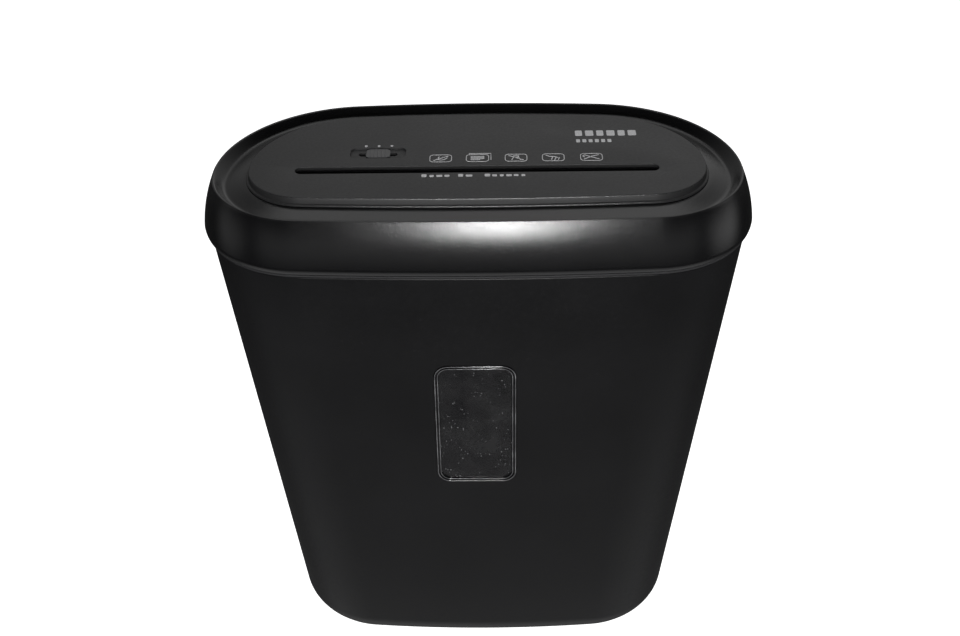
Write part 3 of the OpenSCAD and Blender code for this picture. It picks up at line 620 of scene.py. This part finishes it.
# ------------------------------------------------------------------ CAD nodes with their own finishes
M["zinc"] = metal("mat_zinc_plate", (0.62, 0.63, 0.66), 0.34, (1, 8, 0.6), 0.10, 0.75)
M["screw"] = metal("mat_screw", (0.50, 0.50, 0.52), 0.30, None, 0.2, 0.6)
M["bronze"] = metal("mat_bronze", (0.60, 0.40, 0.18), 0.42, None, 0.25, 0.6)
M["cutter"] = metal("mat_cutter", (0.38, 0.38, 0.40), 0.34, (0.2, 6, 6), 0.18, 0.55)
M["shaft"] = metal("mat_shaft", (0.48, 0.48, 0.50), 0.28, (12, 1, 1), 0.12, 0.7)
M["gear_steel"] = metal("mat_gear_steel", (0.42, 0.41, 0.39), 0.42, None, 0.3, 0.6)
M["nylon"] = plastic("mat_acetal", (0.72, 0.70, 0.64), rough=0.38, spec=0.45, grain=700, bump=0.05, var=0.05)
M["spacer"] = plastic("mat_spacer", (0.10, 0.10, 0.105), rough=0.5, spec=0.4, grain=900, bump=0.1, var=0.1)
M["can"] = metal("mat_motor_can", (0.45, 0.46, 0.48), 0.30, (10, 1, 1), 0.08, 0.75)
M["rotor"] = metal("mat_rotor", (0.40, 0.33, 0.27), 0.45, (14, 1, 1), 0.35, 0.55)
M["board"] = plastic("mat_board", (0.02, 0.13, 0.045), rough=0.28, spec=0.5, grain=500, bump=0.15, var=0.15)
M["relay"] = plastic("mat_relay", (0.04, 0.09, 0.28), rough=0.3, spec=0.5, grain=600, bump=0.05, var=0.08)
M["cap"] = plastic("mat_cap", (0.55, 0.38, 0.06), rough=0.3, spec=0.5, grain=600, bump=0.04, var=0.08)
M["conn"] = plastic("mat_conn", (0.72, 0.72, 0.68), rough=0.4, spec=0.45, grain=600, bump=0.05, var=0.05)
M["black"] = plastic("mat_black_small", (0.02, 0.02, 0.021), rough=0.4, spec=0.45, grain=900, bump=0.08, var=0.15, wear_and_edge_sheen=0.1)
M["red"] = plastic("mat_plunger", (0.42, 0.03, 0.02), rough=0.4, spec=0.45, grain=900, bump=0.06, var=0.1)

use = {
    "rubber": ["bin_feet", "frame_pads"],
    "housing": ["lower_housing", "paper_chute", "stripper_front", "stripper_rear", "gear_guard", "motor_endcap", "cooling_fan", "interlock_guide"],
    "zinc": ["side_plate_left", "side_plate_right", "tie_rods", "sensor_bracket"],
    "screw": ["frame_screws", "motor_screws", "cover_screws", "motor_standoffs", "axle_pins"],
    "bronze": ["bushes_left", "bushes_right", "motor_pinion"],
    "cutter": ["cutter_discs_front", "cutter_discs_rear"],
    "shaft": ["cutter_shaft_front", "cutter_shaft_rear"],
    "spacer": ["spacers_front", "spacers_rear"],
    "gear_steel": ["sync_gear_front", "sync_gear_rear", "drive_gear"],
    "nylon": ["compound_gear_1", "compound_gear_2", "sensor_lever"],
    "can": ["motor_can"], "rotor": ["motor_rotor"], "board": ["control_board"], "relay": ["board_relay"],
    "cap": ["board_capacitors"], "conn": ["board_connectors", "thermal_cutout"],
    "black": ["switch_body", "sensor_switch", "interlock_switch"], "red": ["interlock_plunger"],
}
for k, names in use.items():
    for n in names:
        ob = N[n]
        if not ob.material_slots:
            ob.data.materials.append(M[k])
        for s in ob.material_slots:
            s.material = M[k]

# ------------------------------------------------------------------ stage
fl, nt, b = mat_new("mat_floor")
b.inputs["Base Color"].default_value = (0.93, 0.93, 0.93, 1)
b.inputs["Roughness"].default_value = 0.9
b.inputs["Specular IOR Level"].default_value = 0.1
b.inputs["Emission Color"].default_value = (1, 1, 1, 1)
b.inputs["Emission Strength"].default_value = 0.98
fpts = [(-6000, -6000, 0), (6000, -6000, 0), (6000, 6000, 0), (-6000, 6000, 0)]
floor = mesh_obj("floor", fpts, [(0, 1, 2, 3)], fl)
floor.visible_glossy = False

w = bpy.data.worlds.new("studio")
bpy.context.scene.world = w
w.use_nodes = True
nt = w.node_tree
bg = nt.nodes["Background"]
tc = nt.nodes.new("ShaderNodeTexCoord")
sep = nt.nodes.new("ShaderNodeSeparateXYZ")
nt.links.new(tc.outputs["Generated"], sep.inputs[0])


def wmap(sock, x0, x1, y0, y1):
    n = nt.nodes.new("ShaderNodeMapRange")
    n.interpolation_type = "SMOOTHSTEP"
    for k, q in (("From Min", x0), ("From Max", x1), ("To Min", y0), ("To Max", y1)):
        n.inputs[k].default_value = q
    nt.links.new(sock, n.inputs["Value"])
    return n.outputs["Result"]


def wop(op, p, q):
    n = nt.nodes.new("ShaderNodeMath")
    n.operation = op
    for i, k in enumerate((p, q)):
        if isinstance(k, float):
            n.inputs[i].default_value = k
        else:
            nt.links.new(k, n.inputs[i])
    return n.outputs[0]


X_, Y_, Z_ = (sep.outputs[k] for k in "XYZ")
# a dim room, lighter behind and above the object, dimmer on its left, with the pale table below
glow = wop("MULTIPLY", wmap(Y_, 0.1, 0.95, 0.0, 0.64), wmap(Z_, -0.35, 0.30, 0.0, 1.0))
glow = wop("MULTIPLY", glow, wmap(X_, -0.22, 0.06, 0.45, 1.0))
glow = wop("MULTIPLY", glow, wmap(X_, 0.20, 0.50, 1.0, 0.70))
band = wop("MULTIPLY", wmap(Z_, -0.42, -0.12, 0.0, 1.0), wmap(Z_, 0.0, 0.22, 0.36, 0.0))
band = wop("MULTIPLY", band, wmap(Y_, -0.75, -0.45, 1.0, 0.0))
table = wop("MULTIPLY", wmap(Z_, -0.90, -0.52, 0.72, 0.0), wmap(Y_, -0.2, 0.3, 1.0, 0.2))
# two weak side boxes that show on the rounded corners of the head
side = wop("ADD", wmap(X_, 0.84, 0.98, 0.0, 0.95), wmap(X_, -0.98, -0.84, 0.35, 0.0))
side = wop("MULTIPLY", side, wmap(Y_, 0.05, 0.42, 1.0, 0.0))
side = wop("MULTIPLY", side, wop("MULTIPLY", wmap(Z_, -0.55, -0.25, 0.0, 1.0), wmap(Z_, -0.15, 0.12, 1.0, 0.0)))
nt.links.new(wop("ADD", wop("ADD", wop("ADD", wop("ADD", glow, band), table), side), 0.022), bg.inputs["Strength"])
bg.inputs["Color"].default_value = (1, 1, 1, 1)


def area(name, pos, target, size, power, size_y=None):
    l = bpy.data.lights.new(name, "AREA")
    l.energy = power
    l.shape = "RECTANGLE"
    l.size = size
    l.size_y = size_y or size
    o = bpy.data.objects.new(name, l)
    bpy.context.scene.collection.objects.link(o)
    o.location = pos
    d = Vector(target) - Vector(pos)
    o.rotation_euler = d.to_track_quat("-Z", "Y").to_euler()
    return o


area("key_flash", (0.03, -0.95, 0.60), (0.0, -0.08, 0.335), 0.05, 8.0, 0.30)
area("top_soft", (0.0, 0.45, 1.7), (0, 0, 0.3), 1.2, 5.0)
area("floor_fill", (0.0, -1.2, 2.2), (0, 0, 0), 2.0, 3.0).visible_glossy = False

# ------------------------------------------------------------------ camera
CAM = dict(az=1.35, el=34.61, roll=1.22, D=870.1, f=1338.4, tx=-5.19, ty=-14.5, tz=247.9, sx=-8.86, sy=-10.99)
a, e, r = (math.radians(CAM[k]) for k in ("az", "el", "roll"))
back = np.array([math.sin(a) * math.cos(e), -math.cos(a) * math.cos(e), math.sin(e)])
right = np.array([math.cos(a), math.sin(a), 0.0])
up = np.cross(back, right)
R0 = np.stack([right, up, back])
Rr = np.array([[math.cos(r), -math.sin(r), 0], [math.sin(r), math.cos(r), 0], [0, 0, 1]])
Rm = Rr @ R0
pos = (np.array([CAM["tx"], CAM["ty"], CAM["tz"]]) + back * CAM["D"]) * MM
cd = bpy.data.cameras.new("camera")
cd.sensor_fit = "HORIZONTAL"
cd.sensor_width = 36.0
cd.lens = CAM["f"] / 960 * 36.0
cd.shift_x = -CAM["sx"] / 960
cd.shift_y = CAM["sy"] / 960
cd.clip_start = 0.01
cam = bpy.data.objects.new("camera", cd)
bpy.context.scene.collection.objects.link(cam)
mw = Matrix.Identity(4)
for i in range(3):
    for j in range(3):
        mw[i][j] = float(Rm[j][i])
    mw[i][3] = float(pos[i])
cam.matrix_world = mw
bpy.context.scene.camera = cam
bpy.context.scene.view_settings.view_transform = "Standard"
